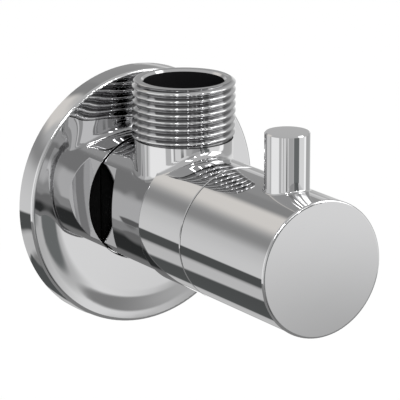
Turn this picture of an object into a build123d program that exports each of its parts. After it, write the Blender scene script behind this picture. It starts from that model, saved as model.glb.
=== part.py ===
import os
from math import asin, cos, degrees, radians, sin, sqrt

from build123d import *

os.makedirs("parts", exist_ok=True)

# Quarter-turn angle valve for a washbasin, in millimetres. The wall is the plane Y = 0,
# the valve stands out of it towards -Y, and its outlet points up along +Z. A "reach" is
# a distance in front of the wall, a "rise" is a height above the valve's main axis.

# Barrel and handle, seen from outside
barrel_radius = 13.7
shank_step = 0.6
shank_front_reach = 24.0
shank_back_reach = 1.6
shank_back_chamfer = 0.4
step_round = 0.35
seam_reach = 39.3
seam_gap = 0.25
edge_round = 0.5
rim_chamfer = 0.15

# Spanner flats on the shank, each with a ramp of 45 degrees up to the round
flat_half_width = 10.0
flat_front_reach = 9.9
flat_edge_round = 0.15

# Pipe thread of the inlet and the outlet
pipe_thread_radius = 10.4775
pipe_thread_pitch = 1.45
pipe_thread_depth = 0.85
thread_crest_share = 0.2
thread_root_share = 0.1
thread_relief_width = 0.6
thread_lead_in = 0.9

# Inlet into the wall
inlet_depth = 11.5
seat_width = 3.3

# Outlet stub
outlet_reach = 19.7
neck_radius = 10.0
neck_stand = 2.1
neck_blend = 1.8
outlet_thread_length = 12.1
outlet_bore_radius = 8.15
outlet_bore_chamfer = 0.45
outlet_lead_in = 0.5

# Wall rosette, a pressed shell
rosette_radius = 27.2
rosette_height = 4.6
rosette_sheet = 0.9
rosette_wall_taper = 0.3
rosette_edge_round = 0.7
rosette_flat_radius = 20.0
rosette_face_fall = 0.1
rosette_hole_clearance = 0.2
rosette_hole_round = 0.2

# Rubber ring behind the rosette's face, which grips the shank
grip_ring_radius = 18.5
grip_ring_thickness = 1.9
grip_ring_clearance = 0.15

# Lever pin on the handle, and how far the handle runs on past its axis
lever_radius = 4.45
lever_height = 11.0
lever_setback = 12.0
lever_chamfer = 0.25
lever_foot_round = 0.4

# Handle shell, with its hub and the boss for the grub screw
handle_wall = 1.4
handle_front_wall = 3.6
hub_radius = 8.2
hub_bore_radius = 5.9
hub_bore_depth = 9.6
hub_back_gap = 0.32
boss_bite_in_hub = 1.64
boss_bite_in_wall = 0.35

# Steps inwards from the handle's cavity to the headwork's thread and its chamber
collar_clearance = 0.4
collar_overlap = 0.75
gasket_recess_step = 0.15
gasket_recess_depth = 1.5
screw_fit = 0.05
chamber_step = 1.7
seat_land = 0.55
chamber_front_land = 1.15

# Headwork, a brass cage with a quarter-turn ceramic cartridge
cage_clearance = 1.3
cage_wall = 1.0
cage_tail_gap = 1.6
cage_shoulder_setback = 0.7
seal_seat_depth = 1.8
window_tail_land = 0.98
window_front_land = 1.3
window_angle = 110.0
key_width = 3.0
key_fit = 0.05
headwork_undercut_depth = 1.4
headwork_thread_setback = 1.4
headwork_thread_lead = 0.8
headwork_thread_runout = 0.4
headwork_undercut_width = 2.0
collar_thickness = 1.7
hex_across_flats = 17.0
hex_height = 5.4
hex_chamfer = 0.7
neck_sleeve_wall = 1.85
neck_sleeve_length = 3.6
stop_ring_radius = 8.3
stop_ring_step = 2.4

# Ceramic discs
disc_clearance = 0.2
disc_thickness = 2.6
disc_film = 0.02
disc_slot_depth = 1.4
port_rim = 1.2
port_inner_radius = 1.9
port_angle = 78.0

# Seat seal and its inner ring
seal_clearance = 0.1
seal_wall = 1.35
seal_lip = 0.5
support_wall = 0.8
seat_gap = 0.02

# Spindle
stem_flange_width = 2.3
running_fit = 0.05
stem_flange_thickness = 1.5
washer_thickness = 1.0
paddle_thickness = 4.4
paddle_fit = 0.06
paddle_end_clearance = 0.2
spline_step = 0.5
spline_teeth = 20
spline_depth = 0.45
spline_tip_share = 0.28
spline_root_share = 0.4
spline_shoulder_setback = 0.4
spline_end_setback = 1.0
circlip_thickness = 0.8
circlip_groove_depth = 0.6
circlip_radius = 5.6
circlip_gap_angle = 60.0
spindle_seal_wire = 1.2
spindle_seal_squeeze = 0.03
spindle_seal_side_play = 0.2
first_seal_depth = 5.2
seal_spacing = 4.0

# Stop ring on the spline
turn_angle = 90.0
stop_tab_angle = 40.0
stop_tab_play = 1.0
stop_tab_gap = 0.3
stop_tab_inner_gap = 0.35
stop_tab_outer_gap = 0.2
stop_plate_thickness = 2.2
stop_plate_radius = 6.0

# Handle insert and grub screw
insert_fit = 0.05
insert_back_gap = 0.1
insert_front_gap = 0.4
screw_radius = 2.5
screw_web = 0.6
screw_hole_fit = 0.05
screw_chamfer = 0.3
screw_socket_across_flats = 2.5
screw_socket_depth = 2.6
screw_sink = 1.2
screw_tip_gap = 0.05

# How far a cut runs past what it cuts, how far a joined piece runs into its
# neighbour, and how close an edge lies to the place where it is looked for
cut_overrun = 1.0
join_bite = 0.5
pick_tolerance = 0.02

# Radii, from the barrel inwards
shank_radius = barrel_radius - shank_step
cavity_radius = barrel_radius - handle_wall
collar_radius = cavity_radius - collar_clearance
gasket_recess_radius = collar_radius - collar_overlap
headwork_thread_radius = gasket_recess_radius - gasket_recess_step
socket_radius = headwork_thread_radius + screw_fit
headwork_undercut_radius = headwork_thread_radius - headwork_undercut_depth
chamber_radius = headwork_thread_radius - chamber_step
cage_radius = chamber_radius - cage_clearance
cage_bore_radius = cage_radius - cage_wall
disc_radius = cage_bore_radius - disc_clearance
seal_outer_radius = cage_bore_radius - seal_clearance
port_outer_radius = disc_radius - port_rim
stem_radius = disc_radius - stem_flange_width
stem_bore_radius = stem_radius + running_fit
neck_sleeve_radius = stem_bore_radius + neck_sleeve_wall
spline_radius = stem_radius - spline_step
inlet_bore_radius = chamber_radius - seat_width
thread_root_radius = pipe_thread_radius - pipe_thread_depth
stop_tab_radius = stop_ring_radius - stop_tab_outer_gap

# Rises
outlet_thread_foot_rise = barrel_radius + neck_stand
outlet_rise = outlet_thread_foot_rise + outlet_thread_length
lever_rise = barrel_radius + lever_height

# Reaches of the socket and the cartridge, from the outlet's axis
seat_reach = outlet_reach - outlet_bore_radius - seat_land
socket_reach = outlet_reach + outlet_bore_radius + chamber_front_land
cage_tail_reach = seat_reach + cage_tail_gap
disc_back_reach = cage_tail_reach + seal_seat_depth
disc_joint_reach = disc_back_reach + disc_thickness
turning_disc_reach = disc_joint_reach + disc_film
turning_disc_front = turning_disc_reach + disc_thickness
cage_shoulder_reach = socket_reach - cage_shoulder_setback
washer_back_reach = cage_shoulder_reach - seat_gap - washer_thickness
stem_flange_front = washer_back_reach - seat_gap
stem_flange_back = stem_flange_front - stem_flange_thickness
window_tail_reach = turning_disc_front + window_tail_land
window_front_reach = cage_shoulder_reach - window_front_land
headwork_thread_tail_reach = socket_reach + headwork_thread_setback
headwork_thread_front = seam_reach - headwork_undercut_width
first_seal_reach = cage_shoulder_reach + first_seal_depth
second_seal_reach = first_seal_reach + seal_spacing

# Reaches of what stands in the handle, from the seam outwards to the handle's front
rim_reach = seam_reach + seam_gap
collar_front_reach = seam_reach + collar_thickness
hex_front_reach = collar_front_reach + hex_height
sleeve_front_reach = hex_front_reach + neck_sleeve_length
circlip_reach = sleeve_front_reach + seat_gap
spline_back_reach = circlip_reach + circlip_thickness + 2 * seat_gap
stop_plate_reach = spline_back_reach + seat_gap
stop_plate_front = stop_plate_reach + stop_plate_thickness
stop_tab_back = hex_front_reach + stop_tab_gap
hub_back_reach = stop_plate_front + hub_back_gap
lever_reach = hub_back_reach + screw_web + screw_radius
projection = lever_reach + lever_setback
cavity_front_reach = projection - handle_front_wall
insert_back_reach = hub_back_reach + insert_back_gap
insert_front_reach = hub_back_reach + hub_bore_depth - insert_front_gap
spline_front_reach = insert_front_reach - spline_end_setback

# Lever up is open. It turns clockwise to the right, seen from the front, to close.
lever_angle = 90.0
stop_middle_angle = lever_angle + turn_angle / 2
stop_opening = turn_angle + stop_tab_angle + 2 * stop_tab_play
stop_tab_middle = lever_angle + turn_angle

# Profiles beside the main axis read as (reach, radius), those beside the outlet as (radius, rise)
side_plane = Plane(origin=(0, 0, 0), x_dir=(0, -1, 0), z_dir=(-1, 0, 0))
outlet_plane = Plane(origin=(0, -outlet_reach, 0), x_dir=(1, 0, 0), z_dir=(0, -1, 0))
outlet_axis = Axis((0, -outlet_reach, 0), (0, 0, 1))


def cross_plane(reach):
    """A plane across the main axis, looking towards the wall, with local y up."""
    return Plane(origin=(0, -reach, 0), x_dir=(1, 0, 0), z_dir=(0, -1, 0))


def side_profile(*corners):
    """A closed outline of (reach, radius) corners beside the main axis."""
    with BuildSketch(side_plane) as outline:
        with BuildLine():
            Polyline(*corners, close=True)
        make_face()
    return outline.sketch


def outlet_profile(*corners):
    """A closed outline of (radius, rise) corners beside the outlet's axis."""
    with BuildSketch(outlet_plane) as outline:
        with BuildLine():
            Polyline(*corners, close=True)
        make_face()
    return outline.sketch


def thread_corners(start, end):
    """Crests and roots of a thread from start to end, as (place along it, radius)."""
    span = abs(end - start)
    turns = round(span / pipe_thread_pitch)
    pitch = (end - start) / turns
    flank_share = (1 - thread_crest_share - thread_root_share) / 2
    corners = []
    for turn in range(turns):
        foot = start + pitch * turn
        corners.append((foot, thread_root_radius))
        corners.append((foot + pitch * thread_root_share, thread_root_radius))
        corners.append((foot + pitch * (thread_root_share + flank_share), pipe_thread_radius))
        corners.append((foot + pitch * (1 - flank_share), pipe_thread_radius))
    corners.append((end, thread_root_radius))
    return corners


def polar(radius, angle):
    """A sketch point at this angle, counted from local +X towards local +Y."""
    return (radius * cos(radians(angle)), radius * sin(radians(angle)))


def ring_sector(inner, outer, middle, opening):
    """A sector of a flat ring about the sketch's origin."""
    first = middle - opening / 2
    with BuildSketch() as outline:
        with BuildLine():
            outside = CenterArc((0, 0), outer, first, opening)
            inside = CenterArc((0, 0), inner, first, opening)
            Line(outside @ 0, inside @ 0)
            Line(outside @ 1, inside @ 1)
        make_face()
    return outline.sketch


def spline_outline(grown):
    """The toothed outline of the spindle's end, grown outwards for the parts that slip over it."""
    tip = spline_radius + grown
    root = spline_radius - spline_depth + grown
    step = 360 / spline_teeth
    half_tip = spline_tip_share / 2
    half_root = (1 - spline_root_share) / 2
    corners = []
    for tooth in range(spline_teeth):
        corners.append(polar(root, step * (tooth - half_root)))
        corners.append(polar(tip, step * (tooth - half_tip)))
        corners.append(polar(tip, step * (tooth + half_tip)))
        corners.append(polar(root, step * (tooth + half_root)))
    with BuildSketch() as outline:
        with BuildLine():
            Polyline(*corners, close=True)
        make_face()
    return outline.sketch


def finish(piece, name):
    piece.part.label = name
    export_step(piece.part, f"parts/{name}.step")


def meets_barrel(edge, reach, radius):
    """True for an edge where an upright round stub at this reach meets the barrel."""
    for share in (0.0, 0.3, 0.6, 1.0):
        point = edge @ share
        from_axis = sqrt(point.X ** 2 + (point.Y + reach) ** 2)
        if abs(from_axis - radius) > pick_tolerance or point.Z > barrel_radius + pick_tolerance:
            return False
    return True


def on_neck_foot(edge):
    return meets_barrel(edge, outlet_reach, neck_radius)


def on_flat_rim(edge):
    """True for the outer edges of a spanner flat and its ramp, where they leave the round."""
    for share in (0.1, 0.5, 0.9):
        point = edge @ share
        ramp_x = flat_half_width + max(0, -point.Y - flat_front_reach)
        if abs(abs(point.X) - ramp_x) > pick_tolerance:
            return False
        if abs(sqrt(point.X ** 2 + point.Z ** 2) - shank_radius) > pick_tolerance:
            return False
    return True


def on_lever_foot(edge):
    return meets_barrel(edge, lever_reach, lever_radius) and edge.geom_type != GeomType.CIRCLE


def shank_outline(grown):
    """The shank's outline across its spanner flats, grown for what slips over it."""
    with BuildSketch() as outline:
        Circle(shank_radius + grown)
        Rectangle(2 * (flat_half_width + grown), 2 * barrel_radius, mode=Mode.INTERSECT)
    return outline.sketch


def blended_barrel(radius, kept):
    """Barrel and outlet neck with their blend, kept on one side of the step."""
    with BuildPart() as blank:
        revolve(
            side_profile(
                (shank_back_reach, 0),
                (shank_back_reach, radius),
                (seam_reach, radius),
                (seam_reach, 0),
            ),
            axis=Axis.Y,
        )
        with BuildSketch(Plane.XY):
            with Locations((0, -outlet_reach)):
                Circle(neck_radius)
        extrude(amount=outlet_thread_foot_rise)
        fillet(blank.edges().filter_by(on_neck_foot), radius=neck_blend)
        split(bisect_by=cross_plane(shank_front_reach), keep=kept)
    return blank.part


# Valve body, one brass forging with its threads, sockets and waterways
shank_half = blended_barrel(shank_radius, Keep.BOTTOM)
barrel_half = blended_barrel(barrel_radius, Keep.TOP)

# The step's edge is rounded all the way round, up to the neck's foot on both sides
neck_foot_half = sqrt((neck_radius + neck_blend) ** 2 - (shank_front_reach - outlet_reach) ** 2)
neck_foot_angle = degrees(asin(neck_foot_half / barrel_radius))
step_plane = Plane(
    origin=(0, 0, 0),
    x_dir=(0, -1, 0),
    z_dir=(-cos(radians(neck_foot_angle)), 0, sin(radians(neck_foot_angle))),
)

with BuildPart() as valve_body:
    add(shank_half)
    add(barrel_half)
    with BuildSketch(step_plane):
        with BuildLine():
            step_middle = (shank_front_reach + step_round, barrel_radius - step_round)
            step_arc = CenterArc(step_middle, step_round, 180, -90)
            Polyline(
                step_arc @ 1,
                (shank_front_reach + step_round, barrel_radius + cut_overrun),
                (shank_front_reach - cut_overrun, barrel_radius + cut_overrun),
                (shank_front_reach - cut_overrun, barrel_radius - step_round),
                step_arc @ 0,
            )
        make_face()
    revolve(axis=Axis.Y, revolution_arc=360 - 2 * neck_foot_angle, mode=Mode.SUBTRACT)
    shank_edge = valve_body.edges().group_by(Axis.Y)[-1]
    chamfer(shank_edge, length=shank_back_chamfer)
    barrel_edge = valve_body.edges().group_by(Axis.Y)[0]
    chamfer(barrel_edge, length=rim_chamfer)

    # Spanner flats on both sides of the shank
    ramp_run = barrel_radius + cut_overrun - flat_half_width
    with BuildSketch(Plane.XY):
        with BuildLine():
            Polyline(
                (flat_half_width, -shank_back_reach),
                (flat_half_width, -flat_front_reach),
                (flat_half_width + ramp_run, -flat_front_reach - ramp_run),
                (flat_half_width + ramp_run, -shank_back_reach),
                close=True,
            )
        make_face()
        mirror(about=Plane.YZ)
    extrude(amount=barrel_radius, both=True, mode=Mode.SUBTRACT)
    fillet(valve_body.edges().filter_by(on_flat_rim), radius=flat_edge_round)

    # Inlet thread, which screws into the wall
    inlet_thread = thread_corners(shank_back_reach - thread_relief_width, thread_lead_in - inlet_depth)
    revolve(
        side_profile(
            (shank_back_reach, 0),
            (shank_back_reach, thread_root_radius),
            *inlet_thread,
            (-inlet_depth, thread_root_radius - thread_lead_in / 2),
            (-inlet_depth, 0),
        ),
        axis=Axis.Y,
    )

    # Outlet thread for the union nut of the supply pipe
    outlet_thread = thread_corners(outlet_thread_foot_rise, outlet_rise - outlet_lead_in)
    outlet_corners = [(radius, rise) for rise, radius in outlet_thread[:-1]]
    revolve(
        outlet_profile(
            (outlet_bore_radius - cut_overrun, outlet_thread_foot_rise - join_bite),
            (thread_root_radius, outlet_thread_foot_rise - join_bite),
            *outlet_corners,
            (pipe_thread_radius, outlet_rise - outlet_lead_in),
            (pipe_thread_radius - outlet_lead_in, outlet_rise),
            (outlet_bore_radius - cut_overrun, outlet_rise),
        ),
        axis=outlet_axis,
    )

    # Inlet bore, seat, chamber, screwed socket and gasket recess, as one stepped bore
    revolve(
        side_profile(
            (-inlet_depth, 0),
            (-inlet_depth, inlet_bore_radius),
            (seat_reach, inlet_bore_radius),
            (seat_reach, chamber_radius),
            (socket_reach, chamber_radius),
            (socket_reach, socket_radius),
            (seam_reach - gasket_recess_depth, socket_radius),
            (seam_reach - gasket_recess_depth, gasket_recess_radius),
            (seam_reach, gasket_recess_radius),
            (seam_reach, 0),
        ),
        axis=Axis.Y,
        mode=Mode.SUBTRACT,
    )

    # Outlet bore down into the chamber
    revolve(
        outlet_profile(
            (0, 0),
            (outlet_bore_radius, 0),
            (outlet_bore_radius, outlet_rise - outlet_bore_chamfer),
            (outlet_bore_radius + outlet_bore_chamfer, outlet_rise),
            (0, outlet_rise),
        ),
        axis=outlet_axis,
        mode=Mode.SUBTRACT,
    )
finish(valve_body, "valve_body")

# Wall rosette: a pressed shell whose flat face falls a little towards its rounded edge
rosette_hole_radius = shank_radius + rosette_hole_clearance
rosette_back_reach = rosette_height - rosette_sheet
rosette_edge_reach = rosette_height - rosette_face_fall
rosette_wall_front = rosette_edge_reach - rosette_edge_round
rosette_wall_radius = rosette_radius - rosette_wall_taper
rosette_wall_middle = rosette_radius - rosette_wall_taper / 4
rosette_edge_radius = rosette_wall_radius - rosette_edge_round
with BuildPart() as wall_rosette:
    with BuildSketch(side_plane):
        with BuildLine():
            wall = ThreePointArc(
                (0, rosette_radius),
                (rosette_wall_front / 2, rosette_wall_middle),
                (rosette_wall_front, rosette_wall_radius),
            )
            edge = CenterArc((rosette_wall_front, rosette_edge_radius), rosette_edge_round, 90, -90)
            fall = ThreePointArc(
                edge @ 1,
                (rosette_height - rosette_face_fall / 4, (rosette_edge_radius + rosette_flat_radius) / 2),
                (rosette_height, rosette_flat_radius),
            )
            Polyline(
                fall @ 1,
                (rosette_height, rosette_hole_radius),
                (rosette_back_reach, rosette_hole_radius),
                (rosette_back_reach, rosette_edge_radius),
                (rosette_wall_front, rosette_wall_radius - rosette_sheet),
                (0, rosette_radius - rosette_sheet),
                (0, rosette_radius),
            )
        make_face()
    revolve(axis=Axis.Y)
    hole_edge = wall_rosette.edges().filter_by(GeomType.CIRCLE).sort_by(SortBy.RADIUS)[:2].sort_by(Axis.Y)[0]
    fillet(hole_edge, radius=rosette_hole_round)
finish(wall_rosette, "wall_rosette")

# Rubber ring behind the face, shaped to the shank and its flats
grip_ring_back = rosette_back_reach - seat_gap - grip_ring_thickness
with BuildPart() as rosette_grip_ring:
    with BuildSketch(cross_plane(grip_ring_back)):
        Circle(grip_ring_radius)
        add(shank_outline(grip_ring_clearance), mode=Mode.SUBTRACT)
    extrude(amount=grip_ring_thickness)
finish(rosette_grip_ring, "rosette_grip_ring")

# Handle: a cast cap with its lever pin, an inner hub and a boss on each side of it
boss_root_rise = hub_radius - boss_bite_in_hub
boss_length = cavity_radius + boss_bite_in_wall - boss_root_rise
with BuildPart() as handle:
    revolve(
        side_profile(
            (rim_reach, 0),
            (rim_reach, barrel_radius),
            (projection, barrel_radius),
            (projection, 0),
        ),
        axis=Axis.Y,
    )
    fillet(handle.edges().group_by(Axis.Y)[0], radius=edge_round)
    chamfer(handle.edges().group_by(Axis.Y)[-1], length=rim_chamfer)
    with BuildSketch(Plane.XY.offset(barrel_radius / 2)):
        with Locations((0, -lever_reach)):
            Circle(lever_radius)
    extrude(amount=lever_rise - barrel_radius / 2)
    fillet(handle.edges().filter_by(on_lever_foot), radius=lever_foot_round)
    chamfer(handle.faces().sort_by(Axis.Z)[-1].edges(), length=lever_chamfer)
    revolve(
        side_profile(
            (rim_reach, 0),
            (rim_reach, cavity_radius),
            (cavity_front_reach, cavity_radius),
            (cavity_front_reach, hub_radius),
            (hub_back_reach, hub_radius),
            (hub_back_reach, 0),
        ),
        axis=Axis.Y,
        mode=Mode.SUBTRACT,
    )
    for boss_foot in (boss_root_rise, -boss_root_rise - boss_length):
        with BuildSketch(Plane.XY.offset(boss_foot)):
            with Locations((0, -lever_reach)):
                Circle(lever_radius)
        extrude(amount=boss_length)
    with BuildSketch(cross_plane(hub_back_reach)):
        Circle(hub_bore_radius)
    extrude(amount=hub_bore_depth, mode=Mode.SUBTRACT)
    with BuildSketch(Plane.XY.offset(-barrel_radius)):
        with Locations((0, -lever_reach)):
            Circle(screw_radius + screw_hole_fit)
    extrude(amount=barrel_radius, mode=Mode.SUBTRACT)
finish(handle, "handle")

# Headwork body: cage with windows, screw thread, collar, hexagon and neck sleeve
with BuildPart() as headwork_body:
    with BuildSketch(cross_plane(collar_front_reach)):
        RegularPolygon(radius=hex_across_flats / 2, side_count=6, major_radius=False)
    extrude(amount=hex_height)
    hex_corner_radius = hex_across_flats / sqrt(3)
    revolve(
        side_profile(
            (collar_front_reach, 0),
            (collar_front_reach, hex_corner_radius + hex_chamfer),
            (hex_front_reach - hex_chamfer, hex_corner_radius + hex_chamfer),
            (hex_front_reach, hex_corner_radius - hex_chamfer),
            (hex_front_reach, 0),
        ),
        axis=Axis.Y,
        mode=Mode.INTERSECT,
    )
    revolve(
        side_profile(
            (cage_tail_reach, 0),
            (cage_tail_reach, cage_radius),
            (headwork_thread_tail_reach - headwork_thread_lead, cage_radius),
            (headwork_thread_tail_reach, headwork_undercut_radius),
            (headwork_thread_tail_reach + headwork_thread_lead, headwork_thread_radius),
            (headwork_thread_front, headwork_thread_radius),
            (headwork_thread_front + headwork_thread_runout, headwork_undercut_radius),
            (seam_reach, headwork_undercut_radius),
            (seam_reach, collar_radius),
            (collar_front_reach, collar_radius),
            (collar_front_reach, neck_sleeve_radius),
            (sleeve_front_reach, neck_sleeve_radius),
            (sleeve_front_reach, 0),
        ),
        axis=Axis.Y,
    )

    # Shoulders that stop the handle at open and closed
    with BuildSketch(cross_plane(hex_front_reach)):
        add(
            ring_sector(
                neck_sleeve_radius - join_bite,
                stop_ring_radius,
                stop_middle_angle + 180,
                360 - stop_opening,
            )
        )
    extrude(amount=stop_ring_step)
    revolve(
        side_profile(
            (cage_tail_reach, 0),
            (cage_tail_reach, cage_bore_radius),
            (cage_shoulder_reach, cage_bore_radius),
            (cage_shoulder_reach, stem_bore_radius),
            (sleeve_front_reach, stem_bore_radius),
            (sleeve_front_reach, 0),
        ),
        axis=Axis.Y,
        mode=Mode.SUBTRACT,
    )

    # Two windows let the water out sideways, two slots key the fixed disc
    with BuildSketch(cross_plane(window_tail_reach)):
        for side in (90, 270):
            add(ring_sector(cage_bore_radius - cut_overrun, cage_radius + cut_overrun, side, window_angle))
    extrude(amount=window_front_reach - window_tail_reach, mode=Mode.SUBTRACT)
    with BuildSketch(cross_plane(cage_tail_reach)):
        with Locations((cage_radius, 0), (-cage_radius, 0)):
            Rectangle(cage_radius, key_width + 2 * key_fit)
    extrude(amount=disc_joint_reach - cage_tail_reach, mode=Mode.SUBTRACT)
finish(headwork_body, "headwork_body")

# Fixed ceramic disc, keyed in the cage by two ears
with BuildPart() as fixed_disc:
    with BuildSketch(cross_plane(disc_back_reach)):
        Circle(disc_radius)
        Rectangle(2 * (cage_radius - key_fit), key_width)
        for side in (90, 270):
            add(ring_sector(port_inner_radius, port_outer_radius, side, port_angle), mode=Mode.SUBTRACT)
    extrude(amount=disc_thickness)
finish(fixed_disc, "fixed_disc")

# Turning ceramic disc with the slot that the spindle's paddle drives
with BuildPart() as turning_disc:
    with BuildSketch(cross_plane(turning_disc_reach)):
        Circle(disc_radius)
        for side in (90, 270):
            add(ring_sector(port_inner_radius, port_outer_radius, side, port_angle), mode=Mode.SUBTRACT)
    extrude(amount=disc_thickness)
    with BuildSketch(cross_plane(turning_disc_front - disc_slot_depth)):
        Rectangle(2 * (disc_radius + cut_overrun), paddle_thickness + 2 * paddle_fit)
    extrude(amount=disc_slot_depth, mode=Mode.SUBTRACT)
finish(turning_disc, "turning_disc")

# Rubber seat seal with its lip on the seat, and the ring that backs it inside
seal_front_reach = disc_back_reach - seat_gap
seal_inner_radius = seal_outer_radius - seal_wall
with BuildPart() as seat_seal:
    revolve(
        side_profile(
            (seat_reach + seat_gap, seal_inner_radius + seal_lip / 2),
            (seat_reach + seat_gap, seal_outer_radius - seal_lip),
            (seat_reach + seat_gap + 2 * seal_lip, seal_outer_radius),
            (seal_front_reach, seal_outer_radius),
            (seal_front_reach, seal_inner_radius),
            (seat_reach + seat_gap + 2 * seal_lip, seal_inner_radius),
        ),
        axis=Axis.Y,
    )
finish(seat_seal, "seat_seal")

with BuildPart() as seal_support_ring:
    with BuildSketch(cross_plane(seat_reach + 2 * seal_lip)):
        Circle(seal_inner_radius - seat_gap)
        Circle(seal_inner_radius - seat_gap - support_wall, mode=Mode.SUBTRACT)
    extrude(amount=seal_front_reach - seat_reach - 2 * seal_lip)
finish(seal_support_ring, "seal_support_ring")

# Gasket ring under the headwork's collar
bonnet_wire_radius = (gasket_recess_radius - headwork_undercut_radius) / 2 - screw_fit
bonnet_ring_radius = (gasket_recess_radius + headwork_undercut_radius) / 2
bonnet_ring_reach = seam_reach - gasket_recess_depth / 2
with BuildPart() as bonnet_o_ring:
    with BuildSketch(side_plane):
        with Locations((bonnet_ring_reach, bonnet_ring_radius)):
            Circle(bonnet_wire_radius)
    revolve(axis=Axis.Y)
finish(bonnet_o_ring, "bonnet_o_ring")

# Spindle: paddle, flange, sealed stem, circlip groove and splined end
seal_wire_radius = spindle_seal_wire / 2
seal_ring_radius = stem_bore_radius - spindle_seal_squeeze - seal_wire_radius
seal_groove_radius = seal_ring_radius - seal_wire_radius - seat_gap
seal_groove_half = seal_wire_radius + spindle_seal_side_play
spline_shoulder_reach = sleeve_front_reach - spline_shoulder_setback
paddle_back_reach = turning_disc_front - disc_slot_depth + seat_gap
with BuildPart() as spindle:
    revolve(
        side_profile(
            (stem_flange_back, 0),
            (stem_flange_back, disc_radius),
            (stem_flange_front, disc_radius),
            (stem_flange_front, stem_radius),
            (first_seal_reach - seal_groove_half, stem_radius),
            (first_seal_reach - seal_groove_half, seal_groove_radius),
            (first_seal_reach + seal_groove_half, seal_groove_radius),
            (first_seal_reach + seal_groove_half, stem_radius),
            (second_seal_reach - seal_groove_half, stem_radius),
            (second_seal_reach - seal_groove_half, seal_groove_radius),
            (second_seal_reach + seal_groove_half, seal_groove_radius),
            (second_seal_reach + seal_groove_half, stem_radius),
            (spline_shoulder_reach, stem_radius),
            (spline_shoulder_reach, spline_radius),
            (circlip_reach - seat_gap, spline_radius),
            (circlip_reach - seat_gap, spline_radius - circlip_groove_depth),
            (spline_back_reach, spline_radius - circlip_groove_depth),
            (spline_back_reach, 0),
        ),
        axis=Axis.Y,
    )
    with BuildSketch(cross_plane(spline_back_reach)):
        add(spline_outline(0))
    extrude(amount=spline_front_reach - spline_back_reach)
    with BuildSketch(cross_plane(paddle_back_reach)):
        Circle(disc_radius - paddle_end_clearance)
        Rectangle(2 * disc_radius, paddle_thickness, mode=Mode.INTERSECT)
    extrude(amount=stem_flange_back - paddle_back_reach)
finish(spindle, "spindle")

for place, name in ((first_seal_reach, "spindle_o_ring_inner"), (second_seal_reach, "spindle_o_ring_outer")):
    with BuildPart() as spindle_o_ring:
        with BuildSketch(side_plane):
            with Locations((place, seal_ring_radius)):
                Circle(seal_wire_radius)
        revolve(axis=Axis.Y)
    finish(spindle_o_ring, name)

# Thrust washer between the spindle's flange and the cage's shoulder
with BuildPart() as thrust_washer:
    with BuildSketch(cross_plane(washer_back_reach)):
        Circle(disc_radius)
        Circle(stem_bore_radius, mode=Mode.SUBTRACT)
    extrude(amount=washer_thickness)
finish(thrust_washer, "thrust_washer")

# Circlip that keeps the spindle in the headwork
with BuildPart() as spindle_circlip:
    with BuildSketch(cross_plane(circlip_reach)):
        add(
            ring_sector(
                spline_radius - circlip_groove_depth + seat_gap,
                circlip_radius,
                0,
                360 - circlip_gap_angle,
            )
        )
    extrude(amount=circlip_thickness)
finish(spindle_circlip, "spindle_circlip")

# Stop ring on the spline, whose tab swings between the headwork's shoulders
stop_tab_inner_radius = neck_sleeve_radius + stop_tab_inner_gap
with BuildPart() as stop_ring:
    with BuildSketch(cross_plane(stop_plate_reach)):
        Circle(stop_plate_radius)
        add(ring_sector(stop_plate_radius - join_bite, stop_tab_radius, stop_tab_middle, stop_tab_angle))
        add(spline_outline(key_fit), mode=Mode.SUBTRACT)
    extrude(amount=stop_plate_thickness)
    with BuildSketch(cross_plane(stop_tab_back)):
        add(ring_sector(stop_tab_inner_radius, stop_tab_radius, stop_tab_middle, stop_tab_angle))
    extrude(amount=stop_plate_reach - stop_tab_back)
finish(stop_ring, "stop_ring")

# Splined insert in the handle's hub, and the grub screw that holds both on the spindle
insert_radius = hub_bore_radius - insert_fit
with BuildPart() as spline_insert:
    with BuildSketch(cross_plane(insert_back_reach)):
        Circle(insert_radius)
        add(spline_outline(key_fit), mode=Mode.SUBTRACT)
    extrude(amount=insert_front_reach - insert_back_reach)
    with BuildSketch(Plane.XY.offset(-insert_radius - cut_overrun)):
        with Locations((0, -lever_reach)):
            Circle(screw_radius + 2 * screw_hole_fit)
    extrude(amount=insert_radius + cut_overrun, mode=Mode.SUBTRACT)
finish(spline_insert, "spline_insert")

screw_tip_rise = -(spline_radius + screw_tip_gap)
screw_head_rise = screw_sink - barrel_radius
with BuildPart() as handle_grub_screw:
    with BuildSketch(Plane.XY.offset(screw_head_rise)):
        with Locations((0, -lever_reach)):
            Circle(screw_radius)
    extrude(amount=screw_tip_rise - screw_head_rise)
    chamfer(handle_grub_screw.edges().filter_by(GeomType.CIRCLE), length=screw_chamfer)
    with BuildSketch(Plane.XY.offset(screw_head_rise)):
        with Locations((0, -lever_reach)):
            RegularPolygon(radius=screw_socket_across_flats / 2, side_count=6, major_radius=False)
    extrude(amount=screw_socket_depth, mode=Mode.SUBTRACT)
finish(handle_grub_screw, "handle_grub_screw")
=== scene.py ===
import bpy
import math
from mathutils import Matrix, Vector


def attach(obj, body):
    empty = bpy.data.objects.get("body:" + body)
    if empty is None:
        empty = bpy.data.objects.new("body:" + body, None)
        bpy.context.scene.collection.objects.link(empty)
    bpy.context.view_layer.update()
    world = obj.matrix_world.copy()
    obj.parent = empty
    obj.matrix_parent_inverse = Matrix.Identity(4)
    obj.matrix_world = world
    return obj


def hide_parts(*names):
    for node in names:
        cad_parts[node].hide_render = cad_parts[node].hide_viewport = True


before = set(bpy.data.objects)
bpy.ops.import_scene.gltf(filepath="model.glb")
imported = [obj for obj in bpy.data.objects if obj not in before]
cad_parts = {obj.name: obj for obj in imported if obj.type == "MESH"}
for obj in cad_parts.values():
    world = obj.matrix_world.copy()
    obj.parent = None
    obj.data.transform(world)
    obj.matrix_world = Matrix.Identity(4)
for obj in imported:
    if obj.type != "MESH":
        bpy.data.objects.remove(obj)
bpy.ops.object.select_all(action="DESELECT")
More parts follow.
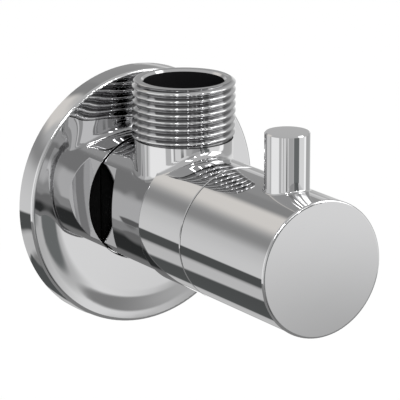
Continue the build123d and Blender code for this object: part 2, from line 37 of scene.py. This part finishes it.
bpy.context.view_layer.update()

# The camera stands where the photo was taken from
cameraSetup = {
    "azimuth": -33.01,
    "elevation": 15.39,
    "distance": 0.63816,
    "aim": (0.0, -0.030, 0.0),
    "aimPixel": (211.68, 223.81),
    "focalPixels": 3179.0,
    "framePixels": 400.0,
    "sensorWidth": 36.0,
    "clipStart": 0.01,
    "clipEnd": 20.0,
}


def makeCamera(setup):
    azimuth = math.radians(setup["azimuth"])
    elevation = math.radians(setup["elevation"])
    back = Vector((
        math.sin(azimuth) * math.cos(elevation),
        -math.cos(azimuth) * math.cos(elevation),
        math.sin(elevation),
    ))
    right = Vector((math.cos(azimuth), math.sin(azimuth), 0.0))
    up = back.cross(right)
    metresPerPixel = setup["distance"] / setup["focalPixels"]
    middle = setup["framePixels"] / 2
    offCentre = right * (middle - setup["aimPixel"][0]) + up * (setup["aimPixel"][1] - middle)
    place = Vector(setup["aim"]) + back * setup["distance"] + offCentre * metresPerPixel
    data = bpy.data.cameras.new("photoCamera")
    data.sensor_width = setup["sensorWidth"]
    data.lens = setup["focalPixels"] / setup["framePixels"] * setup["sensorWidth"]
    data.clip_start = setup["clipStart"]
    data.clip_end = setup["clipEnd"]
    camera = bpy.data.objects.new("photoCamera", data)
    camera.location = place
    camera.rotation_euler = back.to_track_quat("Z", "Y").to_euler()
    bpy.context.collection.objects.link(camera)
    bpy.context.scene.camera = camera


makeCamera(cameraSetup)
bpy.context.scene.view_settings.view_transform = "Standard"
print("camera placed")

# The studio round the object: soft panels on the world, laid one over another.
# azimuth 0 is straight in front, 90 to the right, 180 behind; elevation 0 is level.
# grey is how bright polished chrome looks when it mirrors the panel: 0 is black, 255 white,
# and a lamp has more.
chromeReflectance = 0.62
displayGamma = 2.2
whiteGrey = 255
neutral = (1.0, 1.0, 1.0)
warm = (1.03, 0.995, 0.95)
cool = (0.96, 1.01, 1.01)
studioPanels = [
    # what, azimuth, half width, softness, elevation, half height, softness, grey, tint
    ("room", 0, 181, 1, 0, 91, 1, 168, neutral),
    # ring of walls, level with the object
    ("wallBehind", -171, 4, 16, 0, 30, 20, 128, neutral),
    ("wallLeftBehind", -128, 24, 10, -25, 14, 34, 192, neutral),
    ("wallLeft", -96, 20, 8, -10, 20, 20, 226, neutral),
    ("wallLeftGap", -127.5, 2, 1.5, -15.4, 3, 3, 160, neutral),
    ("wallLeftNotch", -70, 4.5, 3, -10, 22, 6, 170, neutral),
    ("wallFront", -17, 10, 5, -10, 22, 10, 158, neutral),
    ("wallFrontLeft", -44, 14, 4, -10, 14, 12, 200, neutral),
    ("cardLeft", -60.5, 1.5, 1.5, -10, 20, 6, 224, neutral),
    ("gapLeft", -55, 0.8, 1.2, -12, 16, 6, 140, neutral),
    ("stripFrontLeft", -36.6, 2.2, 2, -17.3, 2.2, 2, 104, neutral),
    ("shadeFrontLeft", -28, 8, 4, 20, 7, 6, 136, neutral),
    ("stripFront", 13, 13, 1, -10, 24, 10, 100, cool),
    ("wallFrontRight", 52, 22.1, 3.2, -10, 22, 12, 208, neutral),
    ("wallRightGlow", 67, 4, 6, -10, 22, 12, 240, neutral),
    ("wallRight", 96, 18, 8, -10, 25, 12, 156, neutral),
    ("wallRightBehind", 141, 16, 8, -14, 20, 8, 194, neutral),
    ("gapRightBehind", 144.5, 2, 1.5, 0, 6, 3, 150, neutral),
    # what hangs over it
    ("ceilingBehind", 160, 22, 8, 33, 12, 8, 134, neutral),
    ("ceilingRightBehind", 150, 8, 5, 22, 5, 4, 136, neutral),
    ("topGap", 178, 5, 6, 38, 9, 6, 126, neutral),
    ("warmCard", -161, 9, 9, 35, 4, 10, 198, warm),
    ("shadeUnderCard", -146, 14, 8, 19, 1, 12, 130, neutral),
    # what lies under it
    ("floor", 0, 181, 1, -62, 41, 1, 120, neutral),
    ("floorDarkStrip", -146, 16, 8, -20, 3.6, 1.5, 74, cool),
    ("floorLeft", -152, 16, 8, -30, 3, 4, 176, neutral),
    ("floorDarkBehind", -179, 17, 5, -40.5, 6, 1.5, 74, cool),
    ("floorRightBehind", 160, 6, 4, -33, 3, 3, 166, neutral),
    ("floorRight", 150, 5, 4, -22, 3, 3, 215, neutral),
    ("floorFrontRight", 44, 8, 6, -26, 7.7, 3, 160, neutral),
    ("floorFrontLeft", -27, 5, 4, -23, 3, 2, 152, neutral),
    ("floorDarkFront", -5, 11, 8, -37, 7, 3, 54, cool),
    # cards high in front, and small bright lamps that sparkle on the thread
    ("cardFrontHigh", 10, 12, 4, 34, 8, 4, 280, neutral),
    ("cardRightHigh", 58, 20, 5, 38, 16, 6, 330, neutral),
    ("lampLeft", -53, 1.8, 1.2, 47, 11, 4, 700, neutral),
    ("lampFrontLeft", -23, 1.5, 1, 35, 4, 2, 800, neutral),
    ("lampFront", 12, 1.5, 1, 30, 4, 2, 800, neutral),
    ("lampRight", 48, 4, 2, 42, 6, 3, 700, neutral),
]


def linearGrey(grey):
    return (grey / whiteGrey) ** displayGamma / chromeReflectance


def makeStudio(panels):
    world = bpy.data.worlds.new("studio")
    bpy.context.scene.world = world
    world.use_nodes = True
    nodes = world.node_tree.nodes
    links = world.node_tree.links
    nodes.clear()

    def calculate(operation, first, second=None, third=None):
        node = nodes.new("ShaderNodeMath")
        node.operation = operation
        for slot, value in enumerate((first, second, third)):
            if value is None:
                continue
            if isinstance(value, (int, float)):
                node.inputs[slot].default_value = value
            else:
                links.new(value, node.inputs[slot])
        return node.outputs[0]

    direction = nodes.new("ShaderNodeTexCoord").outputs["Generated"]
    split = nodes.new("ShaderNodeSeparateXYZ")
    links.new(direction, split.inputs[0])
    frontness = calculate("MULTIPLY", split.outputs["Y"], -1.0)
    azimuth = calculate("DEGREES", calculate("ARCTAN2", split.outputs["X"], frontness))
    elevation = calculate("DEGREES", calculate("ARCSINE", split.outputs["Z"]))

    def inside(distance, half, soft):
        edge = nodes.new("ShaderNodeMapRange")
        edge.interpolation_type = "SMOOTHSTEP"
        links.new(distance, edge.inputs["Value"])
        edge.inputs["From Min"].default_value = half + soft
        edge.inputs["From Max"].default_value = half
        return edge.outputs[0]

    colour = None
    for what, turn, halfWidth, softWide, rise, halfHeight, softHigh, grey, tint in panels:
        level = linearGrey(grey)
        shade = (level * tint[0], level * tint[1], level * tint[2], 1)
        if colour is None:
            base = nodes.new("ShaderNodeRGB")
            base.outputs[0].default_value = shade
            colour = base.outputs[0]
            continue
        turned = calculate("WRAP", calculate("SUBTRACT", azimuth, turn), 180.0, -180.0)
        across = calculate("ABSOLUTE", turned)
        high = calculate("ABSOLUTE", calculate("SUBTRACT", elevation, rise))
        wide = inside(across, halfWidth, softWide)
        tall = inside(high, halfHeight, softHigh)
        cover = calculate("MULTIPLY", wide, tall)
        blend = nodes.new("ShaderNodeMix")
        blend.data_type = "RGBA"
        blend.label = what
        blend.clamp_factor = True
        links.new(cover, blend.inputs["Factor"])
        links.new(colour, blend.inputs[6])
        blend.inputs[7].default_value = shade
        colour = blend.outputs[2]

    mirrored = nodes.new("ShaderNodeBackground")
    links.new(colour, mirrored.inputs["Color"])
    plain = nodes.new("ShaderNodeBackground")
    plain.inputs["Color"].default_value = (1, 1, 1, 1)
    rays = nodes.new("ShaderNodeLightPath")
    choose = nodes.new("ShaderNodeMixShader")
    seen = calculate("MAXIMUM", rays.outputs["Is Camera Ray"], rays.outputs["Is Transmission Ray"])
    links.new(seen, choose.inputs[0])
    links.new(mirrored.outputs[0], choose.inputs[1])
    links.new(plain.outputs[0], choose.inputs[2])
    out = nodes.new("ShaderNodeOutputWorld")
    links.new(choose.outputs[0], out.inputs[0])


makeStudio(studioPanels)
print("studio made")

# The pale floor lies well below the valve, which hangs on its wall. The chrome mirrors the studio
# panels instead of it, and it takes the valve's faint shadow.
floorSetup = {
    "size": 12.0,
    "rise": -0.32,
    "colour": (0.9, 0.9, 0.9),
    "roughness": 0.8,
    "shadowShare": 0.04,
}
lampSetup = [
    # name, place, size across, watts
    ("keyLamp", (-0.9, -1.3, 1.5), 1.2, 26.0),
    ("fillLamp", (1.4, -1.0, 0.6), 1.4, 11.0),
]


def makeFloor(setup):
    bpy.ops.mesh.primitive_plane_add(size=setup["size"], location=(0, 0, setup["rise"]))
    bpy.ops.object.transform_apply(location=True, rotation=False, scale=False)
    floor = bpy.context.object
    floor.name = "paleFloor"
    material = bpy.data.materials.new("paleFloor")
    material.use_nodes = True
    nodes = material.node_tree.nodes
    links = material.node_tree.links
    paint = nodes["Principled BSDF"]
    paint.inputs["Base Color"].default_value = (*setup["colour"], 1)
    paint.inputs["Roughness"].default_value = setup["roughness"]
    glow = nodes.new("ShaderNodeEmission")
    blend = nodes.new("ShaderNodeMixShader")
    rays = nodes.new("ShaderNodeLightPath")
    seen = nodes.new("ShaderNodeMath")
    seen.operation = "MULTIPLY"
    links.new(rays.outputs["Is Camera Ray"], seen.inputs[0])
    seen.inputs[1].default_value = 1 - setup["shadowShare"]
    links.new(seen.outputs[0], blend.inputs[0])
    links.new(paint.outputs[0], blend.inputs[1])
    links.new(glow.outputs[0], blend.inputs[2])
    links.new(blend.outputs[0], nodes["Material Output"].inputs["Surface"])
    floor.data.materials.append(material)
    floor.visible_glossy = False
    bpy.ops.object.select_all(action="DESELECT")


def makeLamps(setup):
    for name, place, size, watts in setup:
        data = bpy.data.lights.new(name, "AREA")
        data.shape = "DISK"
        data.size = size
        data.energy = watts
        lamp = bpy.data.objects.new(name, data)
        lamp.location = place
        lamp.rotation_euler = Vector(place).to_track_quat("Z", "Y").to_euler()
        lamp.visible_glossy = False
        lamp.visible_camera = False
        bpy.context.collection.objects.link(lamp)


makeFloor(floorSetup)
makeLamps(lampSetup)
print("floor and lamps placed")


# Materials. Every pattern reads Object coordinates, so it keeps its place when a body moves.
def startMaterial(name, metallic, roughness):
    material = bpy.data.materials.new(name)
    material.use_nodes = True
    shader = material.node_tree.nodes["Principled BSDF"]
    shader.inputs["Metallic"].default_value = metallic
    shader.inputs["Roughness"].default_value = roughness
    return material


def addNode(material, kind, **values):
    node = material.node_tree.nodes.new(kind)
    for name, value in values.items():
        setattr(node, name, value)
    return node


def connect(material, source, target):
    material.node_tree.links.new(source, target)


def addNoise(material, grain, detail=3.0):
    place = addNode(material, "ShaderNodeTexCoord").outputs["Object"]
    noise = addNode(material, "ShaderNodeTexNoise")
    connect(material, place, noise.inputs["Vector"])
    noise.inputs["Scale"].default_value = 1 / grain
    noise.inputs["Detail"].default_value = detail
    return noise.outputs["Fac"]


def addRange(material, value, fromRange, toRange, curve="LINEAR"):
    spread = addNode(material, "ShaderNodeMapRange", interpolation_type=curve)
    connect(material, value, spread.inputs["Value"])
    spread.inputs["From Min"].default_value = fromRange[0]
    spread.inputs["From Max"].default_value = fromRange[1]
    spread.inputs["To Min"].default_value = toRange[0]
    spread.inputs["To Max"].default_value = toRange[1]
    return spread.outputs[0]


def addBump(material, height, depth, under=None, sinks=False):
    bump = addNode(material, "ShaderNodeBump", invert=sinks)
    bump.inputs["Distance"].default_value = depth
    connect(material, height, bump.inputs["Height"])
    if under is not None:
        connect(material, under, bump.inputs["Normal"])
    return bump.outputs[0]


def addMaths(material, operation, first, second, third=0.0):
    node = addNode(material, "ShaderNodeMath", operation=operation)
    for place, value in enumerate((first, second, third)):
        if isinstance(value, float):
            node.inputs[place].default_value = value
        else:
            connect(material, value, node.inputs[place])
    return node.outputs[0]


def addPlace(material):
    place = addNode(material, "ShaderNodeTexCoord").outputs["Object"]
    split = addNode(material, "ShaderNodeSeparateXYZ")
    connect(material, place, split.inputs[0])
    return split


def addAxisDistance(material, split, crossing, offset):
    # How far a point lies from an axis square to X and to the crossing one, which the offset shifts
    flat = addNode(material, "ShaderNodeCombineXYZ")
    connect(material, split.outputs["X"], flat.inputs[0])
    connect(material, addMaths(material, "ADD", split.outputs[crossing], offset), flat.inputs[1])
    distance = addNode(material, "ShaderNodeVectorMath", operation="LENGTH")
    connect(material, flat.outputs[0], distance.inputs[0])
    return distance.outputs["Value"]


def addColours(material, factor, first, second):
    mix = addNode(material, "ShaderNodeMix", data_type="RGBA")
    connect(material, factor, mix.inputs["Factor"])
    mix.inputs[6].default_value = (*first, 1)
    mix.inputs[7].default_value = (*second, 1)
    return mix.outputs[2]


noiseSpan = (0.3, 0.7)    # where a noise value mostly lies
wavePhase = 20            # radians of a wave texture's phase per metre, at scale 1
chromeLook = {
    "colour": (0.62, 0.62, 0.625),
    "roughness": (0.012, 0.03),
    "cloud": 0.006,
    "ripple": 0.005,
    "rippleDepth": 0.000001,
}
# painted shade: a near-black finish for the outlet's bore and the narrow groove at the thread's foot,
# where there is only shade; reach and radius place the bore
boreAndGroovePaintedShade = {
    "reach": 0.0197,
    "radius": 0.00817,
    "colour": (0.006, 0.006, 0.0065),
    "roughness": 0.4,
    "shine": 0.12,
    "grooveShadeRadius": 0.0103,
    "grooveShadeRise": 0.0159,
    "grooveShadeSpan": 0.00012,
}
dishLook = {
    # the rosette's face falls away a little towards its rim; the radii are from the main axis
    "startRadius": 0.0202,
    "endRadius": 0.0250,
    "fall": 0.000105,
}
threadRootPaintedShade = {
    # painted shade: the thread's colour darkens from its crests down to its roots, standing in for the
    # shade in its grooves; the radii are from the outlet's axis
    "rootRadius": 0.00962,
    "crestRadius": 0.0103,
    "paintedRootShadeColour": (0.24, 0.24, 0.245),
}
turningDistortion = 0.4
metalLooks = {
    # name: first colour, second colour, roughness range, grain, turning marks per radian, their depth
    "turnedBrass": ((0.72, 0.50, 0.22), (0.80, 0.60, 0.30), (0.22, 0.38), 0.004, 0.00035, 0.000004),
    "springSteel": ((0.42, 0.42, 0.43), (0.56, 0.56, 0.57), (0.25, 0.40), 0.002, 0.00025, 0.000003),
}
plainLooks = {
    # name: first colour, second colour, roughness range, grain, bump depth, shine
    "lappedCeramic": ((0.86, 0.84, 0.79), (0.93, 0.92, 0.89), (0.12, 0.22), 0.0008, 0.000001, 0.5),
    "blackRubber": ((0.0015, 0.0015, 0.0015), (0.003, 0.003, 0.003), (0.55, 0.80), 0.0004, 0.000015, 0.05),
    "whiteAcetal": ((0.80, 0.80, 0.76), (0.87, 0.87, 0.84), (0.35, 0.50), 0.0012, 0.000004, 0.5),
    "greyNylon": ((0.30, 0.31, 0.32), (0.38, 0.39, 0.40), (0.40, 0.58), 0.0010, 0.000006, 0.5),
}


def startChrome(name, look):
    material = startMaterial(name, 1.0, look["roughness"][0])
    shader = material.node_tree.nodes["Principled BSDF"]
    shader.inputs["Base Color"].default_value = (*look["colour"], 1)
    cloud = addNoise(material, look["cloud"])
    connect(material, addRange(material, cloud, noiseSpan, look["roughness"]), shader.inputs["Roughness"])
    rippled = addBump(material, addNoise(material, look["ripple"], 0.0), look["rippleDepth"])
    connect(material, rippled, shader.inputs["Normal"])
    return material, shader


def makeRosetteChrome(look, dish):
    material, shader = startChrome("rosetteChrome", look)
    rippled = shader.inputs["Normal"].links[0].from_socket
    fromAxis = addAxisDistance(material, addPlace(material), "Z", 0.0)
    span = (dish["startRadius"], dish["endRadius"])
    share = addRange(material, fromAxis, span, (0, 1), "SMOOTHSTEP")
    connect(material, addBump(material, share, dish["fall"], rippled, True), shader.inputs["Normal"])
    return material


def makeThreadChrome(look, groove, reach):
    material, shader = startChrome("threadChrome", look)
    fromAxis = addAxisDistance(material, addPlace(material), "Y", reach)
    # painted shade: the colour darkens from crest to root, for the shade in the thread's grooves
    share = addRange(material, fromAxis, (groove["rootRadius"], groove["crestRadius"]), (0, 1))
    colour = addColours(material, share, groove["paintedRootShadeColour"], look["colour"])
    connect(material, colour, shader.inputs["Base Color"])
    return material


def makeBodyChrome(look, boreShade):
    # Painted shade: the outlet's bore and the narrow groove at the thread's foot get a near-black finish
    # that stands in for the shade in them
    material, shader = startChrome("bodyChrome", look)
    split = addPlace(material)
    rise = split.outputs["Z"]
    fromAxis = addAxisDistance(material, split, "Y", boreShade["reach"])
    inBore = addMaths(material, "LESS_THAN", fromAxis, boreShade["radius"])
    above = addMaths(material, "GREATER_THAN", rise, 0.0)
    inGroove = addMaths(material, "LESS_THAN", fromAxis, boreShade["grooveShadeRadius"])
    nearGroove = addMaths(material, "COMPARE", rise, boreShade["grooveShadeRise"], boreShade["grooveShadeSpan"])
    # painted shade: these masks pick out where the near-black finish replaces the chrome
    boreShadeMask = addMaths(material, "MULTIPLY", inBore, above)
    grooveShadeMask = addMaths(material, "MULTIPLY", nearGroove, inGroove)
    paintedShadeMask = addMaths(material, "MAXIMUM", boreShadeMask, grooveShadeMask)
    paintedShadeFinish = addNode(material, "ShaderNodeBsdfPrincipled")
    paintedShadeFinish.inputs["Base Color"].default_value = (*boreShade["colour"], 1)
    paintedShadeFinish.inputs["Roughness"].default_value = boreShade["roughness"]
    paintedShadeFinish.inputs["Specular IOR Level"].default_value = boreShade["shine"]
    blend = addNode(material, "ShaderNodeMixShader")
    connect(material, paintedShadeMask, blend.inputs[0])
    connect(material, shader.outputs[0], blend.inputs[1])
    connect(material, paintedShadeFinish.outputs[0], blend.inputs[2])
    connect(material, blend.outputs[0], material.node_tree.nodes["Material Output"].inputs["Surface"])
    return material


def makeMetal(name, look):
    first, second, roughness, grain, marks, depth = look
    material = startMaterial(name, 1.0, roughness[0])
    shader = material.node_tree.nodes["Principled BSDF"]
    cloud = addNoise(material, grain)
    spread = addRange(material, cloud, noiseSpan, (0, 1))
    connect(material, addColours(material, spread, first, second), shader.inputs["Base Color"])
    connect(material, addRange(material, cloud, noiseSpan, roughness), shader.inputs["Roughness"])
    place = addNode(material, "ShaderNodeTexCoord").outputs["Object"]
    turning = addNode(material, "ShaderNodeTexWave", wave_type="BANDS", bands_direction="Y")
    connect(material, place, turning.inputs["Vector"])
    turning.inputs["Scale"].default_value = 1 / (marks * wavePhase)
    turning.inputs["Distortion"].default_value = turningDistortion
    connect(material, addBump(material, turning.outputs["Fac"], depth), shader.inputs["Normal"])
    return material


def makePlain(name, look):
    first, second, roughness, grain, depth, shine = look
    material = startMaterial(name, 0.0, roughness[0])
    shader = material.node_tree.nodes["Principled BSDF"]
    shader.inputs["Specular IOR Level"].default_value = shine
    cloud = addNoise(material, grain)
    spread = addRange(material, cloud, noiseSpan, (0, 1))
    connect(material, addColours(material, spread, first, second), shader.inputs["Base Color"])
    connect(material, addRange(material, cloud, noiseSpan, roughness), shader.inputs["Roughness"])
    connect(material, addBump(material, cloud, depth), shader.inputs["Normal"])
    return material


polishedChrome = startChrome("polishedChrome", chromeLook)[0]
bodyChrome = makeBodyChrome(chromeLook, boreAndGroovePaintedShade)
rosetteChrome = makeRosetteChrome(chromeLook, dishLook)
threadChrome = makeThreadChrome(chromeLook, threadRootPaintedShade, boreAndGroovePaintedShade["reach"])
turnedBrass = makeMetal("turnedBrass", metalLooks["turnedBrass"])
springSteel = makeMetal("springSteel", metalLooks["springSteel"])
lappedCeramic = makePlain("lappedCeramic", plainLooks["lappedCeramic"])
blackRubber = makePlain("blackRubber", plainLooks["blackRubber"])
whiteAcetal = makePlain("whiteAcetal", plainLooks["whiteAcetal"])
greyNylon = makePlain("greyNylon", plainLooks["greyNylon"])

nodeFinishes = {
    "valve_body": bodyChrome,
    "wall_rosette": rosetteChrome,
    "handle": polishedChrome,
    "headwork_body": turnedBrass,
    "spindle": turnedBrass,
    "seal_support_ring": turnedBrass,
    "spindle_circlip": springSteel,
    "handle_grub_screw": springSteel,
    "fixed_disc": lappedCeramic,
    "turning_disc": lappedCeramic,
    "rosette_grip_ring": blackRubber,
    "seat_seal": blackRubber,
    "bonnet_o_ring": blackRubber,
    "spindle_o_ring_inner": blackRubber,
    "spindle_o_ring_outer": blackRubber,
    "thrust_washer": whiteAcetal,
    "stop_ring": whiteAcetal,
    "spline_insert": greyNylon,
}
for node, finish in nodeFinishes.items():
    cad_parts[node].material_slots[0].material = finish
print("finishes given to", len(nodeFinishes), "pieces")

# The outlet's thread: one tooth, screwed up round the outlet's axis and trimmed to its run.
# Radii are from the outlet's axis, rises from the valve's main axis.
threadShape = {
    "axisReach": 0.0197,
    "pitch": 0.00145,
    "rootRadius": 0.0096275,
    "crestRadius": 0.0104775,
    "rootShare": 0.14,
    "crestShare": 0.22,
    "cornerRound": 0.00009,
    "cornerSteps": 3,
    "foot": 0.0158,
    "top": 0.0279,
    "leadIn": 0.0005,
    "groove": 0.0003,      # width of the plain groove at the thread's foot
    "grooveLift": 0.00005,  # how far the groove's ground stands over the thread's roots
    "grooveSlope": 0.15,   # how steeply the thread's underside rises from the groove
    "innerRadius": 0.0086,
    "sunk": 0.0003,        # how far the sleeve runs down into the neck
    "spare": 0.0002,
    "mergeDistance": 0.000001,
    "weldDistance": 0.0000001,
    "smoothAngle": 34,
    "startRise": 0.013625,
    "turns": 11,
    "turnSteps": 180,
    "trimSteps": 224,
}


def extrudeTo(step):
    bpy.ops.mesh.extrude_region_move(TRANSFORM_OT_translate={"value": step})


def startProfile(name, place):
    bpy.ops.mesh.primitive_plane_add(size=0.001)
    piece = bpy.context.object
    piece.name = name
    bpy.ops.object.mode_set(mode="EDIT")
    bpy.ops.mesh.select_mode(type="VERT")
    bpy.ops.mesh.select_all(action="SELECT")
    bpy.ops.mesh.merge(type="CENTER")
    bpy.ops.transform.translate(value=place)
    return piece


def closeSolid(weldDistance):
    bpy.ops.mesh.select_all(action="SELECT")
    bpy.ops.mesh.remove_doubles(threshold=weldDistance)
    bpy.ops.mesh.normals_make_consistent(inside=False)
    bpy.ops.object.mode_set(mode="OBJECT")


def makeToothedRod(shape):
    flankShare = (1 - shape["rootShare"] - shape["crestShare"]) / 2
    depth = shape["crestRadius"] - shape["rootRadius"]
    pitch = shape["pitch"]
    rod = startProfile("outletThread", (shape["rootRadius"], 0, shape["startRise"]))
    extrudeTo((0, 0, pitch * shape["rootShare"] / 2))
    extrudeTo((depth, 0, pitch * flankShare))
    extrudeTo((0, 0, pitch * shape["crestShare"]))
    extrudeTo((-depth, 0, pitch * flankShare))
    extrudeTo((0, 0, pitch * shape["rootShare"] / 2))
    bpy.ops.object.mode_set(mode="OBJECT")
    for vertex in rod.data.vertices:
        rise = vertex.co.z - shape["startRise"]
        vertex.select = pitch * shape["rootShare"] / 4 < rise < pitch * (1 - shape["rootShare"] / 4)
    bpy.ops.object.mode_set(mode="EDIT")
    bpy.ops.mesh.bevel(affect="VERTICES", offset=shape["cornerRound"], segments=shape["cornerSteps"])
    bpy.ops.object.mode_set(mode="OBJECT")
    screw = rod.modifiers.new("threadTurns", "SCREW")
    screw.axis = "Z"
    screw.angle = math.tau
    screw.screw_offset = pitch
    screw.iterations = shape["turns"]
    screw.steps = shape["turnSteps"]
    screw.render_steps = shape["turnSteps"]
    screw.use_merge_vertices = True
    screw.merge_threshold = shape["weldDistance"]
    bpy.ops.object.modifier_apply(modifier=screw.name)
    bpy.ops.object.mode_set(mode="EDIT")
    bpy.ops.mesh.select_all(action="SELECT")
    bpy.ops.mesh.remove_doubles(threshold=shape["weldDistance"])
    for rise, above in ((shape["foot"] - 2 * shape["sunk"], False), (shape["top"] + shape["spare"], True)):
        bpy.ops.mesh.select_all(action="SELECT")
        bpy.ops.mesh.bisect(
            plane_co=(0, 0, rise), plane_no=(0, 0, 1),
            use_fill=True, clear_inner=not above, clear_outer=above,
        )
    closeSolid(shape["weldDistance"])
    return rod


def makeTrim(shape):
    proud = shape["crestRadius"] + shape["spare"]
    root = shape["rootRadius"] + shape["grooveLift"]
    groove = shape["groove"]
    trim = startProfile("threadTrim", (shape["innerRadius"], 0, shape["foot"] - shape["sunk"]))
    bpy.ops.object.mode_set(mode="OBJECT")
    corners = [
        (root, shape["foot"] - shape["sunk"]),
        (root, shape["foot"] + groove),
        (proud, shape["foot"] + groove + (proud - root) * shape["grooveSlope"]),
        (proud, shape["top"] - shape["leadIn"] - shape["spare"]),
        (proud - shape["leadIn"] - shape["spare"], shape["top"]),
        (shape["innerRadius"], shape["top"]),
        (shape["innerRadius"], shape["foot"] - shape["sunk"]),
    ]
    bpy.ops.object.mode_set(mode="EDIT")
    radius, rise = shape["innerRadius"], shape["foot"] - shape["sunk"]
    for nextRadius, nextRise in corners:
        extrudeTo((nextRadius - radius, 0, nextRise - rise))
        radius, rise = nextRadius, nextRise
    bpy.ops.mesh.select_all(action="SELECT")
    bpy.ops.mesh.spin(steps=shape["trimSteps"], angle=math.tau, center=(0, 0, 0), axis=(0, 0, 1))
    closeSolid(shape["weldDistance"])
    return trim


def makeThread(shape):
    rod = makeToothedRod(shape)
    bpy.ops.object.select_all(action="DESELECT")
    trim = makeTrim(shape)
    bpy.ops.object.select_all(action="DESELECT")
    rod.select_set(True)
    bpy.context.view_layer.objects.active = rod
    cut = rod.modifiers.new("trim", "BOOLEAN")
    cut.operation = "INTERSECT"
    cut.solver = "EXACT"
    cut.object = trim
    bpy.ops.object.modifier_apply(modifier=cut.name)
    bpy.data.objects.remove(trim)
    bpy.ops.object.mode_set(mode="EDIT")
    bpy.ops.mesh.select_all(action="SELECT")
    bpy.ops.transform.translate(value=(0, -shape["axisReach"], 0))
    bpy.ops.object.mode_set(mode="OBJECT")
    bpy.ops.object.shade_smooth_by_angle(angle=math.radians(shape["smoothAngle"]))
    bpy.ops.object.select_all(action="DESELECT")
    return rod


# The valve body is the CAD node's own form with its ring crests taken off, so that the
# screwed thread can stand in their place
def makeBodyShell(shape):
    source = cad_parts["valve_body"]
    shell = bpy.data.objects.new("valveBodyShell", source.data.copy())
    bpy.context.collection.objects.link(shell)
    shell.select_set(True)
    bpy.context.view_layer.objects.active = shell
    bpy.ops.object.mode_set(mode="EDIT")
    bpy.ops.mesh.select_mode(type="FACE")
    bpy.ops.mesh.select_all(action="SELECT")
    bpy.ops.mesh.remove_doubles(threshold=shape["mergeDistance"], use_sharp_edge_from_normals=True)
    bpy.ops.mesh.select_all(action="DESELECT")
    bpy.ops.object.mode_set(mode="OBJECT")

    def fromAxis(point):
        return math.hypot(point.x, point.y + shape["axisReach"])

    near = shape["spare"] / 10
    for face in shell.data.polygons:
        outside = fromAxis(face.center) > shape["innerRadius"] - near
        face.select = outside and face.center.z > shape["foot"] + near
    bpy.ops.object.mode_set(mode="EDIT")
    bpy.ops.mesh.delete(type="FACE")
    bpy.ops.mesh.select_mode(type="EDGE")
    bpy.ops.mesh.select_all(action="DESELECT")
    bpy.ops.object.mode_set(mode="OBJECT")
    rims = ((shape["rootRadius"], shape["foot"]), (shape["innerRadius"], shape["top"]))
    for edge in shell.data.edges:
        ends = [shell.data.vertices[number].co for number in edge.vertices]
        edge.select = any(
            all(abs(fromAxis(end) - radius) < near and abs(end.z - rise) < near for end in ends)
            for radius, rise in rims
        )
    bpy.ops.object.mode_set(mode="EDIT")
    bpy.ops.mesh.bridge_edge_loops()
    bpy.ops.mesh.select_all(action="DESELECT")
    bpy.ops.object.mode_set(mode="OBJECT")
    bpy.ops.object.select_all(action="DESELECT")
    return shell


def makeValveBody(shape):
    thread = makeThread(shape)
    thread.data.materials.append(threadChrome)
    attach(thread, "valve")
    shell = makeBodyShell(shape)
    shell.data.materials[0] = bodyChrome
    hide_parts("valve_body")
    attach(shell, "valve")


makeValveBody(threadShape)
print("thread cut")
